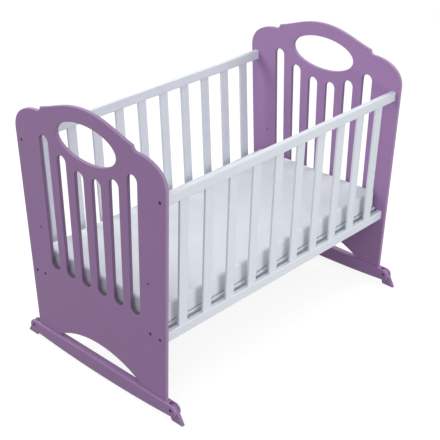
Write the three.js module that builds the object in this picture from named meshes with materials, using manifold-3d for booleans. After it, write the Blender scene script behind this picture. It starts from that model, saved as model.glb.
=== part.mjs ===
// Rocking crib: two shaped end panels standing in wooden rockers with fold-down stoppers, two slatted
// sides, a bed base bolted at the lower of two levels, and a loose mattress.
// Millimetres, +Z up. X runs along the bed and Y across it, with the front side at -Y.
// The origin is on the floor under the middle of the crib.

import * as THREE from 'three';
import { mergeVertices, toCreasedNormals } from 'three/addons/utils/BufferGeometryUtils.js';
import Module from 'manifold-3d';

const wasm = await Module();
wasm.setup();

// Driving dimensions: the whole crib
const insideLength = 1010; // between the two end panels
const fit = 0.3; // gap left round a piece that seats in or on another
const overrun = 5; // how far a cutter passes the face that it cuts

// End panel, drawn across and up. Heights are from the floor and drops from the top of the dome.
const panel = {
  thickness: 12,
  edgeRadius: 5,
  halfWidthAtFloor: 287.2, // where the tapered side edge would meet the floor
  halfWidthAtShoulder: 315.2,
  shoulderDrop: 142.5, // to where the straight side edge ends
  shoulderTopDrop: 59.5,
  shoulderBend: 57, // how far the curve follows the side edge before it turns over
  shoulderFlat: 57, // how far the curve follows the shoulder's flat top
  domeHeight: 866.5,
  domeTipDrop: 44.5, // to the little horn where the dome meets the cove
  domeTipHalfWidth: 190,
  archHeight: 114.5,
  archRadius: 358,
  footInner: 187.5, // the foot's inner edge, upright from the arch down into its mortise
};
const domeFlatShare = 0.41;
const domeTipAcrossShare = 0.66;
const domeTipRiseShare = 0.36;

const handHole = { drop: 101.5, halfWidth: 125.5, halfHeight: 55.5 };

// Slots fan out with the panel's taper: each keeps its share of the half width all the way up
const slot = { width: 38, bottom: 299.5, innerDrop: 194, middleDrop: 169, outerDrop: 129 };
const slotPitchShare = 0.236;

// Rocker board
const rocker = {
  thickness: 26,
  edgeRadius: 4.5,
  topHeight: 56.5,
  lowestHeight: 4.5,
  noseReach: 314, // from the middle to the centre of the half-round nose
  noseRadius: 19.75,
  mortiseDepth: 19,
};

// Fold-down stopper in the rocker's end slot
const stopper = {
  pivotReach: 314.5,
  pivotHeight: 39.5,
  eyeRadius: 16,
  footInner: 311, // the foot's corner nearest to the middle
  footOuter: 355,
  play: 0.6, // on each side of the stopper in its slot
  edgeRadius: 1.5,
};

// Slatted side, drawn along its lean, with heights along the lean from the floor
const side = {
  inset: 14.6, // from the panel's side edge to the face of the rails
  railThickness: 16.5,
  railHeight: 32,
  railEdge: 3,
  topRailDrop: 31, // from the end of the panel's straight edge down to the top rail's middle
  bottomRailHeight: 259.5,
  slatThickness: 8,
  slatWidth: 34,
  slatEdge: 2,
  slatEndGap: 64.5, // from the end panel to the first slat
  mortiseDepth: 10,
};
const slatCount = 10;

// Bed base
const base = {
  topHeight: 280.5,
  railReach: 235, // from the middle to the side rail's centre line
  railWidth: 40,
  railHeight: 37,
  railEdge: 2,
  rebateWidth: 14,
  endRailWidth: 24,
  slatWidth: 80,
  slatThickness: 12,
  slatEdge: 3,
  levelRise: 162.5, // from the lower row of holes to the upper one
};
const baseSlatCount = 6;

// Mattress
const mattress = {
  endGap: 5, // to each end panel
  sideGap: 16.1, // to each slatted side's bottom rail
  height: 70,
  edgeRadius: 14,
  crown: 4,
  drawIn: 3,
};

// Connector screw, with its head flush in the end panel
const screw = {
  length: 50,
  headRadius: 4.6,
  headDepth: 1.4,
  neckDepth: 3.2,
  shankRadius: 3.4,
  coreRadius: 2.5,
  pointLength: 3,
  socketRadius: 2.3,
  socketDepth: 2.4,
};

// Pivot bolt, with its head flush in the rocker's outer cheek and its end in the inner cheek
const pivot = {
  headRadius: 4.5,
  headDepth: 2,
  radius: 3,
  endCover: 1.5, // wood left over the end of the bolt
  socketRadius: 2,
  socketDepth: 1.5,
};

// Curve resolution
const curveSteps = 10;
const coveSteps = 4;
const ovalSteps = 36;
const slotEndSteps = 5;
const archSteps = 16;
const edgeSteps = 2;
const cornerSteps = 1;
const noseSteps = 10;
const rockerSteps = 12;
const eyeSteps = 12;
const roundSegments = 12;
const mattressSteps = { along: 22, across: 12, up: 4 };
const creaseAngle = Math.PI / 5;

// Worked out from the driving dimensions
const halfInside = insideLength / 2;
const shoulderHeight = panel.domeHeight - panel.shoulderDrop;
const shoulderTopHeight = panel.domeHeight - panel.shoulderTopDrop;
const domeTipHeight = panel.domeHeight - panel.domeTipDrop;
const lean = Math.atan((panel.halfWidthAtShoulder - panel.halfWidthAtFloor) / shoulderHeight);
const mortiseWidth = panel.thickness + 2 * fit;
const panelMiddle = halfInside + panel.thickness / 2;
const seatHeight = rocker.topHeight - rocker.mortiseDepth;
const sideFaceAtFloor = panel.halfWidthAtFloor - side.inset;
const topRailHeight = shoulderHeight - side.topRailDrop; // along the lean, as in the side
const baseHoleHeight = base.topHeight - base.railHeight / 2;

// Materials
const purplePaint = new THREE.MeshStandardMaterial({ color: '#8a6b96', roughness: 0.45, metalness: 0 });
const whitePaint = new THREE.MeshStandardMaterial({ color: '#e9ebf0', roughness: 0.4, metalness: 0 });
const ticking = new THREE.MeshStandardMaterial({ color: '#f1f2f6', roughness: 0.9, metalness: 0 });
const darkSteel = new THREE.MeshStandardMaterial({ color: '#3a3140', roughness: 0.4, metalness: 0.8 });

// Turns a shape drawn across and up, and extruded towards the viewer, into one that stands across the bed
const standAcross = new THREE.Matrix4().makeBasis(
  new THREE.Vector3(0, 1, 0),
  new THREE.Vector3(0, 0, 1),
  new THREE.Vector3(1, 0, 0),
);

function solidOf(geometry) {
  const bare = geometry.clone();
  bare.deleteAttribute('normal');
  bare.deleteAttribute('uv');
  const merged = mergeVertices(bare);
  const vertProperties = new Float32Array(merged.attributes.position.array);
  const triVerts = new Uint32Array(merged.index.array);
  return new wasm.Manifold(new wasm.Mesh({ numProp: 3, vertProperties, triVerts }));
}

function geometryOf(solid) {
  const mesh = solid.getMesh();
  const geometry = new THREE.BufferGeometry();
  geometry.setAttribute('position', new THREE.BufferAttribute(mesh.vertProperties, 3));
  geometry.setIndex(new THREE.BufferAttribute(mesh.triVerts, 1));
  return geometry;
}

function cut(geometry, cutters) {
  let solid = solidOf(geometry);
  for (const cutter of cutters) {
    solid = solid.subtract(solidOf(cutter));
  }
  return geometryOf(solid);
}

function piece(name, geometry, material) {
  const mesh = new THREE.Mesh(toCreasedNormals(geometry, creaseAngle), material);
  mesh.name = name;
  return mesh;
}

// A flat board with rounded edges, cut from an outline and standing across the bed about x = 0
function standingBoard(shape, thickness, edgeRadius, steps) {
  const board = new THREE.ExtrudeGeometry(shape, {
    depth: thickness - 2 * edgeRadius,
    bevelThickness: edgeRadius,
    bevelSize: edgeRadius,
    bevelOffset: -edgeRadius,
    bevelSegments: steps,
    curveSegments: ovalSteps,
  });
  board.translate(0, 0, edgeRadius - thickness / 2);
  return board.applyMatrix4(standAcross);
}

// A straight prism that stands across the bed about x = 0
function standingPrism(shape, thickness) {
  const prism = new THREE.ExtrudeGeometry(shape, { depth: thickness, bevelEnabled: false });
  prism.translate(0, 0, -thickness / 2);
  return prism.applyMatrix4(standAcross);
}

// A rod along X, from x = 0 towards +X
function rod(radius, length, segments) {
  const cylinder = new THREE.CylinderGeometry(radius, radius, length, segments);
  cylinder.rotateZ(-Math.PI / 2);
  return cylinder.translate(length / 2, 0, 0);
}

// A block given by its low and high corners
function block(low, high) {
  const size = high.map((value, axis) => value - low[axis]);
  const box = new THREE.BoxGeometry(...size);
  return box.translate(...low.map((value, axis) => value + size[axis] / 2));
}

// A rounded rectangle about the origin
function roundedRectangle(width, height, radius) {
  const shape = new THREE.Shape();
  const across = width / 2 - radius;
  const up = height / 2 - radius;
  shape.absarc(across, up, radius, 0, Math.PI / 2);
  shape.absarc(-across, up, radius, Math.PI / 2, Math.PI);
  shape.absarc(-across, -up, radius, Math.PI, Math.PI * 1.5);
  shape.absarc(across, -up, radius, Math.PI * 1.5, Math.PI * 2);
  return shape;
}

// A batten along X about the origin, with its four long edges rounded
function battenAlong(length, width, height, radius) {
  const section = roundedRectangle(width, height, radius);
  const batten = new THREE.ExtrudeGeometry(section, {
    depth: length,
    bevelEnabled: false,
    curveSegments: cornerSteps,
  });
  batten.translate(0, 0, -length / 2);
  return batten.applyMatrix4(standAcross);
}

// End panel

function halfWidthAt(height) {
  return panel.halfWidthAtFloor + height * Math.tan(lean);
}

// The outline's right half, from the foot up to the top of the dome
function panelHalfOutline() {
  const footHeight = seatHeight + fit;
  const coveRadius = domeTipHeight - shoulderTopHeight;
  const coveFoot = panel.domeTipHalfWidth + coveRadius;
  const bendHeight = shoulderHeight + panel.shoulderBend;
  const shoulder = new THREE.CubicBezierCurve(
    new THREE.Vector2(halfWidthAt(shoulderHeight), shoulderHeight),
    new THREE.Vector2(halfWidthAt(bendHeight), bendHeight),
    new THREE.Vector2(coveFoot + panel.shoulderFlat, shoulderTopHeight),
    new THREE.Vector2(coveFoot, shoulderTopHeight),
  );
  const cove = new THREE.EllipseCurve(
    coveFoot,
    domeTipHeight,
    coveRadius,
    coveRadius,
    -Math.PI / 2,
    -Math.PI,
    true,
  );
  const dome = new THREE.CubicBezierCurve(
    new THREE.Vector2(panel.domeTipHalfWidth, domeTipHeight),
    new THREE.Vector2(
      panel.domeTipHalfWidth * domeTipAcrossShare,
      domeTipHeight + panel.domeTipDrop * domeTipRiseShare,
    ),
    new THREE.Vector2(panel.domeTipHalfWidth * domeFlatShare, panel.domeHeight),
    new THREE.Vector2(0, panel.domeHeight),
  );
  return [
    new THREE.Vector2(panel.footInner, footHeight),
    new THREE.Vector2(halfWidthAt(footHeight), footHeight),
    ...shoulder.getPoints(curveSteps),
    ...cove.getPoints(coveSteps).slice(1),
    ...dome.getPoints(curveSteps).slice(1),
  ];
}

// The arch from one foot's upright inner edge to the other's
function panelArch() {
  const centre = panel.archHeight - panel.archRadius;
  const rise = Math.acos(panel.footInner / panel.archRadius);
  const arch = new THREE.EllipseCurve(
    0,
    centre,
    panel.archRadius,
    panel.archRadius,
    Math.PI - rise,
    rise,
    true,
  );
  return arch.getPoints(archSteps);
}

// A slot with round ends, leaning outwards as its share of the half width grows with height
function slotHole(share, top) {
  const radius = slot.width / 2;
  const low = slot.bottom + radius;
  const high = top - radius;
  const lowAcross = share * halfWidthAt(low);
  const highAcross = share * halfWidthAt(high);
  const turn = Math.atan((highAcross - lowAcross) / (high - low));
  const hole = new THREE.Path();
  hole.absarc(highAcross, high, radius, -turn, Math.PI - turn);
  hole.absarc(lowAcross, low, radius, Math.PI - turn, 2 * Math.PI - turn);
  return new THREE.Path(hole.getPoints(slotEndSteps));
}

function slotHoles() {
  const drops = [slot.innerDrop, slot.middleDrop, slot.outerDrop];
  const holes = [];
  drops.forEach((drop, index) => {
    const top = panel.domeHeight - drop;
    const share = slotPitchShare * (index + 1 / 2);
    holes.push(slotHole(share, top), slotHole(-share, top));
  });
  return holes;
}

function panelShape() {
  const half = panelHalfOutline();
  const otherHalf = half.slice(0, -1).reverse().map((point) => new THREE.Vector2(-point.x, point.y));
  const shape = new THREE.Shape([...half, ...otherHalf, ...panelArch()]);
  const ovalHeight = panel.domeHeight - handHole.drop;
  const oval = new THREE.EllipseCurve(0, ovalHeight, handHole.halfWidth, handHole.halfHeight);
  shape.holes.push(new THREE.Path(oval.getPoints(ovalSteps).slice(1)));
  shape.holes.push(...slotHoles());
  return shape;
}

// Where a point of the leaning side lies, as its reach from the middle and its height
function leaned(inwards, up) {
  return {
    reach: sideFaceAtFloor + up * Math.sin(lean) - inwards * Math.cos(lean),
    height: up * Math.cos(lean) + inwards * Math.sin(lean),
  };
}

function railScrewPlaces() {
  const heights = [topRailHeight, side.bottomRailHeight];
  return heights.map((height) => leaned(side.railThickness / 2, height));
}

// The clearance hole of a connector screw, from the panel's outer face at x = 0 towards +X
function screwClearance() {
  const head = screw.headRadius + fit;
  const shank = screw.shankRadius + fit;
  const profile = [
    new THREE.Vector2(0, -overrun),
    new THREE.Vector2(head, -overrun),
    new THREE.Vector2(head, screw.headDepth + fit),
    new THREE.Vector2(shank, screw.neckDepth + fit),
    new THREE.Vector2(shank, panel.thickness + overrun),
    new THREE.Vector2(0, panel.thickness + overrun),
  ];
  return new THREE.LatheGeometry(profile, roundSegments).rotateZ(-Math.PI / 2);
}

// The panel stands about x = 0 with its outer face towards -X
function endPanel(name) {
  const board = standingBoard(panelShape(), panel.thickness, panel.edgeRadius, edgeSteps);
  const basePlaces = [
    { reach: base.railReach, height: baseHoleHeight },
    { reach: base.railReach, height: baseHoleHeight + base.levelRise },
  ];
  const cutters = [];
  for (const place of [...railScrewPlaces(), ...basePlaces]) {
    for (const across of [-1, 1]) {
      const hole = screwClearance();
      cutters.push(hole.translate(-panel.thickness / 2, across * place.reach, place.height));
    }
  }
  return piece(name, cut(board, cutters), purplePaint);
}

// Rocker

// The sawn lower edge is one long arc, from one nose to the other
function rockerLowerEdge() {
  const ends = rocker.topHeight - 2 * rocker.noseRadius;
  const sag = ends - rocker.lowestHeight;
  const radius = (rocker.noseReach ** 2 + sag ** 2) / (2 * sag);
  const half = Math.asin(rocker.noseReach / radius);
  const arc = new THREE.EllipseCurve(
    0,
    rocker.lowestHeight + radius,
    radius,
    radius,
    -Math.PI / 2 - half,
    -Math.PI / 2 + half,
  );
  return arc.getPoints(rockerSteps);
}

function rockerNose(across) {
  const nose = new THREE.EllipseCurve(
    across * rocker.noseReach,
    rocker.topHeight - rocker.noseRadius,
    rocker.noseRadius,
    rocker.noseRadius,
    (-across * Math.PI) / 2,
    (across * Math.PI) / 2,
  );
  return nose.getPoints(noseSteps).slice(1);
}

function rockerShape() {
  const left = rockerNose(-1);
  return new THREE.Shape([...rockerLowerEdge(), ...rockerNose(1), ...left.slice(0, -1)]);
}

// A tangent from a point to the stopper's eye, as its direction and the point where it touches
function eyeTangent(reach, height, radius, turnSide) {
  const across = stopper.pivotReach - reach;
  const up = stopper.pivotHeight - height;
  const distance = Math.hypot(across, up);
  const direction = Math.atan2(up, across) + turnSide * Math.asin(radius / distance);
  const length = Math.sqrt(distance ** 2 - radius ** 2);
  return { direction, length };
}

// The stopper: a round eye on the pivot, drawn out to a flat foot on the floor
function stopperShape() {
  const inner = eyeTangent(stopper.footInner, 0, stopper.eyeRadius, 1);
  const outer = eyeTangent(stopper.footOuter, 0, stopper.eyeRadius, -1);
  const eye = new THREE.EllipseCurve(
    stopper.pivotReach,
    stopper.pivotHeight,
    stopper.eyeRadius,
    stopper.eyeRadius,
    outer.direction - Math.PI / 2,
    inner.direction + Math.PI / 2,
  );
  return new THREE.Shape([
    new THREE.Vector2(stopper.footInner, 0),
    new THREE.Vector2(stopper.footOuter, 0),
    ...eye.getPoints(eyeSteps),
  ]);
}

// The slot for a stopper: its inner end follows the eye and then the stopper's inner edge, which rests on it
function stopperSlotShape() {
  const radius = stopper.eyeRadius + fit;
  const inner = eyeTangent(stopper.footInner - fit, 0, radius, 1);
  const touchReach = stopper.footInner - fit + inner.length * Math.cos(inner.direction);
  const touchHeight = inner.length * Math.sin(inner.direction);
  const outside = rocker.noseReach + rocker.noseRadius + overrun;
  const above = rocker.topHeight + overrun;
  return new THREE.Shape([
    new THREE.Vector2(stopper.footInner - fit, 0),
    new THREE.Vector2(outside, 0),
    new THREE.Vector2(outside, above),
    new THREE.Vector2(stopper.pivotReach - radius, above),
    new THREE.Vector2(stopper.pivotReach - radius, stopper.pivotHeight),
    new THREE.Vector2(touchReach, touchHeight),
  ]);
}

function mirroredAcross(shape) {
  const points = shape.getPoints().map((point) => new THREE.Vector2(-point.x, point.y));
  return new THREE.Shape(points.reverse());
}

function pivotClearance() {
  const head = pivot.headRadius + fit;
  const shank = pivot.radius + fit;
  const end = rocker.thickness - pivot.endCover + fit;
  const profile = [
    new THREE.Vector2(0, -overrun),
    new THREE.Vector2(head, -overrun),
    new THREE.Vector2(head, pivot.headDepth + fit),
    new THREE.Vector2(shank, pivot.headDepth + fit),
    new THREE.Vector2(shank, end),
    new THREE.Vector2(0, end),
  ];
  return new THREE.LatheGeometry(profile, roundSegments).rotateZ(-Math.PI / 2);
}

// The mortise that takes one of the panel's two feet
function footMortise(across) {
  const inner = across * (panel.footInner - fit);
  const outer = across * (halfWidthAt(rocker.topHeight) + fit);
  return block(
    [-mortiseWidth / 2, Math.min(inner, outer), seatHeight],
    [mortiseWidth / 2, Math.max(inner, outer), rocker.topHeight + overrun],
  );
}

// The rocker stands about x = 0 with its outer face towards -X
function rockerBoard(name) {
  const board = standingBoard(rockerShape(), rocker.thickness, rocker.edgeRadius, edgeSteps);
  const cutters = [
    standingPrism(stopperSlotShape(), mortiseWidth),
    standingPrism(mirroredAcross(stopperSlotShape()), mortiseWidth),
  ];
  for (const across of [-1, 1]) {
    const hole = pivotClearance();
    cutters.push(footMortise(across));
    cutters.push(hole.translate(-rocker.thickness / 2, across * stopper.pivotReach, stopper.pivotHeight));
  }
  return piece(name, cut(board, cutters), purplePaint);
}

function stopperLever(name, across) {
  const outline = across > 0 ? stopperShape() : mirroredAcross(stopperShape());
  const thickness = mortiseWidth - 2 * stopper.play;
  const lever = standingBoard(outline, thickness, stopper.edgeRadius, edgeSteps);
  const eyeHole = rod(pivot.radius + fit, rocker.thickness, roundSegments);
  eyeHole.translate(-rocker.thickness / 2, across * stopper.pivotReach, stopper.pivotHeight);
  return piece(name, cut(lever, [eyeHole]), purplePaint);
}

function pivotBolt(name, across) {
  const profile = [
    new THREE.Vector2(0, 0),
    new THREE.Vector2(pivot.headRadius, 0),
    new THREE.Vector2(pivot.headRadius, pivot.headDepth),
    new THREE.Vector2(pivot.radius, pivot.headDepth),
    new THREE.Vector2(pivot.radius, rocker.thickness - pivot.endCover),
    new THREE.Vector2(0, rocker.thickness - pivot.endCover),
  ];
  const bolt = new THREE.LatheGeometry(profile, roundSegments).rotateZ(-Math.PI / 2);
  const socket = hexSocket(pivot.socketRadius, pivot.socketDepth);
  const mesh = piece(name, cut(bolt, [socket]), darkSteel);
  mesh.position.set(-rocker.thickness / 2, across * stopper.pivotReach, stopper.pivotHeight);
  return mesh;
}

// Screws

function hexSocket(radius, depth) {
  const sides = 6;
  return rod(radius, depth + overrun, sides).translate(-overrun, 0, 0);
}

function connectorScrew(name) {
  const shankEnd = panel.thickness - fit;
  const profile = [
    new THREE.Vector2(0, 0),
    new THREE.Vector2(screw.headRadius, 0),
    new THREE.Vector2(screw.headRadius, screw.headDepth),
    new THREE.Vector2(screw.shankRadius, screw.neckDepth),
    new THREE.Vector2(screw.shankRadius, shankEnd),
    new THREE.Vector2(screw.coreRadius, shankEnd),
    new THREE.Vector2(screw.coreRadius, screw.length - screw.pointLength),
    new THREE.Vector2(0, screw.length),
  ];
  const body = new THREE.LatheGeometry(profile, roundSegments).rotateZ(-Math.PI / 2);
  return piece(name, cut(body, [hexSocket(screw.socketRadius, screw.socketDepth)]), darkSteel);
}

// A screw in place: its head flush with the outer face of the panel at that end
function placedScrew(name, end, across, height) {
  const mesh = connectorScrew(name);
  mesh.position.set(end * (halfInside + panel.thickness), across, height);
  mesh.rotation.z = end > 0 ? Math.PI : 0;
  return mesh;
}

// The pilot hole that a screw leaves in the end of a rail of the given length, which lies about x = 0
function pilotHole(length, end) {
  const depth = screw.length - panel.thickness + fit;
  const hole = rod(screw.coreRadius + fit, depth + overrun, roundSegments);
  hole.translate(-overrun - length / 2, 0, 0);
  return end > 0 ? hole.rotateZ(Math.PI) : hole;
}

// Slatted side

function slatPlaces() {
  const first = side.slatEndGap + side.slatWidth / 2 - halfInside;
  const pitch = (-2 * first) / (slatCount - 1);
  return Array.from({ length: slatCount }, (_, index) => first + index * pitch);
}

// A side rail about the origin, mortised on the face that looks up or down
function sideRail(name, facing) {
  const length = insideLength - 2 * fit;
  const rail = battenAlong(length, side.railThickness, side.railHeight, side.railEdge);
  const mortiseWidth = side.slatWidth + 2 * fit;
  const mortiseThickness = side.slatThickness + 2 * fit;
  const face = (facing * side.railHeight) / 2;
  const floor = face - facing * side.mortiseDepth;
  const mouth = face + facing * overrun;
  const cutters = [pilotHole(length, -1), pilotHole(length, 1)];
  for (const place of slatPlaces()) {
    cutters.push(
      block(
        [place - mortiseWidth / 2, -mortiseThickness / 2, Math.min(floor, mouth)],
        [place + mortiseWidth / 2, mortiseThickness / 2, Math.max(floor, mouth)],
      ),
    );
  }
  return piece(name, cut(rail, cutters), whitePaint);
}

// An upright slat about the origin
function sideSlat(name, length) {
  const section = roundedRectangle(side.slatWidth, side.slatThickness, side.slatEdge);
  const slat = new THREE.ExtrudeGeometry(section, {
    depth: length,
    bevelEnabled: false,
    curveSegments: cornerSteps,
  });
  slat.translate(0, 0, -length / 2);
  return piece(name, slat, whitePaint);
}

// One slatted side in a group that leans with the panel's side edge; across is -1 at the front, 1 at the back
function slattedSide(sideName, across) {
  const group = new THREE.Group();
  group.position.y = across * sideFaceAtFloor;
  group.rotation.x = -across * lean;
  const middle = (-across * side.railThickness) / 2;
  const rails = [
    { label: 'top', height: topRailHeight, facing: -1 },
    { label: 'bottom', height: side.bottomRailHeight, facing: 1 },
  ];
  for (const rail of rails) {
    const mesh = sideRail(`${sideName}_${rail.label}_rail`, rail.facing);
    mesh.position.set(0, middle, rail.height);
    group.add(mesh);
    for (const [endName, end] of [['left', -1], ['right', 1]]) {
      const screwName = `rail_screw_${sideName}_${rail.label}_${endName}`;
      group.add(placedScrew(screwName, end, middle, rail.height));
    }
  }
  const stub = side.mortiseDepth - fit;
  const opening = topRailHeight - side.bottomRailHeight - side.railHeight;
  const slatHeight = (topRailHeight + side.bottomRailHeight) / 2;
  slatPlaces().forEach((place, index) => {
    const mesh = sideSlat(`${sideName}_slat_${index + 1}`, opening + 2 * stub);
    mesh.position.set(place, middle, slatHeight);
    group.add(mesh);
  });
  return group;
}

// Bed base

// A base side rail with the rebate that the base slats lie in, along its inner top edge
function baseSideRail(name, across) {
  const length = insideLength - 2 * fit;
  const rail = battenAlong(length, base.railWidth, base.railHeight, base.railEdge);
  const innerFace = (-across * base.railWidth) / 2;
  const rebateWall = innerFace + across * base.rebateWidth;
  const past = innerFace - across * overrun;
  const top = base.railHeight / 2;
  const rebate = block(
    [-length / 2 - overrun, Math.min(rebateWall, past), top - base.slatThickness],
    [length / 2 + overrun, Math.max(rebateWall, past), top + overrun],
  );
  const cutters = [rebate, pilotHole(length, -1), pilotHole(length, 1)];
  const mesh = piece(name, cut(rail, cutters), whitePaint);
  mesh.position.set(0, across * base.railReach, baseHoleHeight);
  return mesh;
}

// A batten across the bed, about the origin
function battenAcross(name, length, width, height, radius) {
  const batten = battenAlong(length, width, height, radius);
  return piece(name, batten.rotateZ(Math.PI / 2), whitePaint);
}

function bedBase() {
  const group = new THREE.Group();
  const innerFace = base.railReach - base.railWidth / 2;
  const endRailLength = 2 * (innerFace - fit);
  const slatLength = 2 * (innerFace + base.rebateWidth - fit);
  for (const [sideName, across] of [['front', -1], ['back', 1]]) {
    group.add(baseSideRail(`base_${sideName}_rail`, across));
    for (const [endName, end] of [['left', -1], ['right', 1]]) {
      const screwName = `base_screw_${sideName}_${endName}`;
      group.add(placedScrew(screwName, end, across * base.railReach, baseHoleHeight));
    }
  }
  const endRailPlace = halfInside - fit - base.endRailWidth / 2;
  for (const [endName, end] of [['left', -1], ['right', 1]]) {
    const rail = battenAcross(
      `base_${endName}_rail`,
      endRailLength,
      base.endRailWidth,
      base.railHeight,
      base.railEdge,
    );
    rail.position.set(end * endRailPlace, 0, baseHoleHeight);
    group.add(rail);
  }
  const clear = 2 * (endRailPlace - base.endRailWidth / 2);
  const gap = (clear - baseSlatCount * base.slatWidth) / (baseSlatCount + 1);
  for (let index = 0; index < baseSlatCount; index += 1) {
    const slat = battenAcross(
      `base_slat_${index + 1}`,
      slatLength,
      base.slatWidth,
      base.slatThickness,
      base.slatEdge,
    );
    const place = gap + base.slatWidth / 2 + index * (gap + base.slatWidth) - clear / 2;
    slat.position.set(place, 0, base.topHeight - base.slatThickness / 2);
    group.add(slat);
  }
  return group;
}

// Mattress: a box with rounded edges, a crowned top and long sides drawn in between the corners
function mattressPad(name) {
  const sideFace = leaned(side.railThickness, side.bottomRailHeight);
  const half = new THREE.Vector3(
    halfInside - mattress.endGap,
    sideFace.reach - mattress.sideGap,
    mattress.height / 2,
  );
  const { along, across, up } = mattressSteps;
  const box = new THREE.BoxGeometry(2, 2, 2, along, across, up);
  const position = box.attributes.position;
  const inner = half.clone().subScalar(mattress.edgeRadius);
  const point = new THREE.Vector3();
  const core = new THREE.Vector3();
  for (let index = 0; index < position.count; index += 1) {
    point.fromBufferAttribute(position, index);
    const alongShare = point.x;
    const acrossShare = point.y;
    point.set(easedOut(point.x), easedOut(point.y), point.z).multiply(half);
    core.copy(point).clamp(inner.clone().negate(), inner);
    const direction = point.clone().sub(core);
    if (direction.lengthSq() > 0) {
      point.copy(core).addScaledVector(direction.normalize(), mattress.edgeRadius);
    }
    const bulge = (1 - alongShare ** 2) * (1 - acrossShare ** 2);
    if (point.z > 0) {
      point.z += mattress.crown * (bulge - 1);
    }
    point.y *= 1 - (mattress.drawIn / half.y) * Math.cos((alongShare * Math.PI) / 2);
    position.setXYZ(index, point.x, point.y, point.z);
  }
  const mesh = piece(name, box, ticking);
  mesh.position.z = base.topHeight + fit + half.z;
  return mesh;
}

// Draws the grid lines of a unit span towards its two ends, where the edges are rounded
function easedOut(value) {
  return Math.sin((value * Math.PI) / 2);
}

// One end of the crib: panel, rocker, stoppers and pivot bolts, with the outside towards -X.
// The right end is the same assembly turned round.
function cribEnd(endName, end) {
  const group = new THREE.Group();
  group.position.x = end * panelMiddle;
  group.rotation.z = end > 0 ? Math.PI : 0;
  group.add(endPanel(`${endName}_end_panel`));
  group.add(rockerBoard(`${endName}_rocker`));
  for (const [sideName, across] of [['front', -1], ['back', 1]]) {
    const localAcross = -end * across;
    group.add(stopperLever(`stopper_${sideName}_${endName}`, localAcross));
    group.add(pivotBolt(`pivot_bolt_${sideName}_${endName}`, localAcross));
  }
  return group;
}

const crib = new THREE.Group();
crib.add(cribEnd('left', -1));
crib.add(cribEnd('right', 1));
crib.add(slattedSide('front', -1));
crib.add(slattedSide('back', 1));
crib.add(bedBase());
crib.add(mattressPad('mattress'));

export default crib;
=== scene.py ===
# Rocking crib with two shaped purple end panels on rockers, white slatted sides, a slatted bed base
# and a mattress. Metres, +Z up, X along the bed, with the front side at -Y.

import math

import bmesh
import bpy
from mathutils import Matrix, Vector


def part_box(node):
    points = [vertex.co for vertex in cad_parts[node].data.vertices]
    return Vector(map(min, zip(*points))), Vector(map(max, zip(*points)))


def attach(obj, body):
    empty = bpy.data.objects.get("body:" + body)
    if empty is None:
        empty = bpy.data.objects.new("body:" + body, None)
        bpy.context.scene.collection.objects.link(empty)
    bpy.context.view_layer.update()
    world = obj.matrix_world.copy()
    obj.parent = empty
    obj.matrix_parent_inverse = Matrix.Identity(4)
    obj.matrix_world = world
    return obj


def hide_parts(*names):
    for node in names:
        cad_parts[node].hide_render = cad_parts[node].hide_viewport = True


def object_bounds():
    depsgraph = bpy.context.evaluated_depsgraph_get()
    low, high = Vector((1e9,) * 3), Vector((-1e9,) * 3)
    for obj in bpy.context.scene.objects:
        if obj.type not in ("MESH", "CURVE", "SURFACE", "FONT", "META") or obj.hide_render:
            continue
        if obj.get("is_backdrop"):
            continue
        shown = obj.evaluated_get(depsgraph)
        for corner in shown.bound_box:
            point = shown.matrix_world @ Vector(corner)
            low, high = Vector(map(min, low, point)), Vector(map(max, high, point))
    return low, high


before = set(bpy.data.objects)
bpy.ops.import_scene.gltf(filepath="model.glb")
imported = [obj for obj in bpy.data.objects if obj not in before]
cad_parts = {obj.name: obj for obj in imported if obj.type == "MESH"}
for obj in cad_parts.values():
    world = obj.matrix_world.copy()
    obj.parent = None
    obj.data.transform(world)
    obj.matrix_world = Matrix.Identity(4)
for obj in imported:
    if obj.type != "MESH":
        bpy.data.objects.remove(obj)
cad_low, cad_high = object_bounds()
bpy.ops.object.select_all(action="DESELECT")

# Camera: a long lens off the crib's front left corner, looking down over the near end panel into
# the bed.
bpy.ops.object.camera_add(
    location=(-2.0919, -2.0062, 1.8981),
    rotation=(math.radians(90 - 28.40), 0, math.radians(-46.43)),
)
camera = bpy.context.object
camera.data.sensor_width = 36
camera.data.lens = 83.92
camera.data.shift_x = -0.003
camera.data.shift_y = 0.0014
camera.data.clip_end = 100
bpy.context.scene.camera = camera

# End panels: boards of 12 mm fibreboard, sawn to a domed outline with a cove and a little horn on
# each side, an oval hand hole and six slots that fan out with the taper. The edges are eased,
# and the board is drilled for the side and base screws and sprayed purple.
panel_low, panel_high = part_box("left_end_panel")
panel_thickness = panel_high.x - panel_low.x
panel_edge_radius = 0.0022
floor_half_width = 0.2872
shoulder_half_width = 0.3152
shoulder_height = 0.724
shoulder_top = 0.807
shoulder_bend = 0.057
dome_tip_height = 0.822
dome_tip_half_width = 0.190
dome_tip_across_share = 0.66
dome_tip_rise_share = 0.36
dome_flat_share = 0.41
arch_height = 0.1145
arch_radius = 0.358
foot_inner = 0.1875
hand_hole = {"height": 0.765, "half_width": 0.1255, "half_height": 0.0555}
slot_width = 0.038
slot_bottom = 0.2995
slot_tops = (0.6725, 0.6975, 0.7375)
slot_pitch_share = 0.236
taper = (shoulder_half_width - floor_half_width) / shoulder_height
lean = math.atan(taper)


def half_width_at(height):
    """Half the width of the end panel between its straight side edges."""
    return floor_half_width + taper * height


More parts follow.
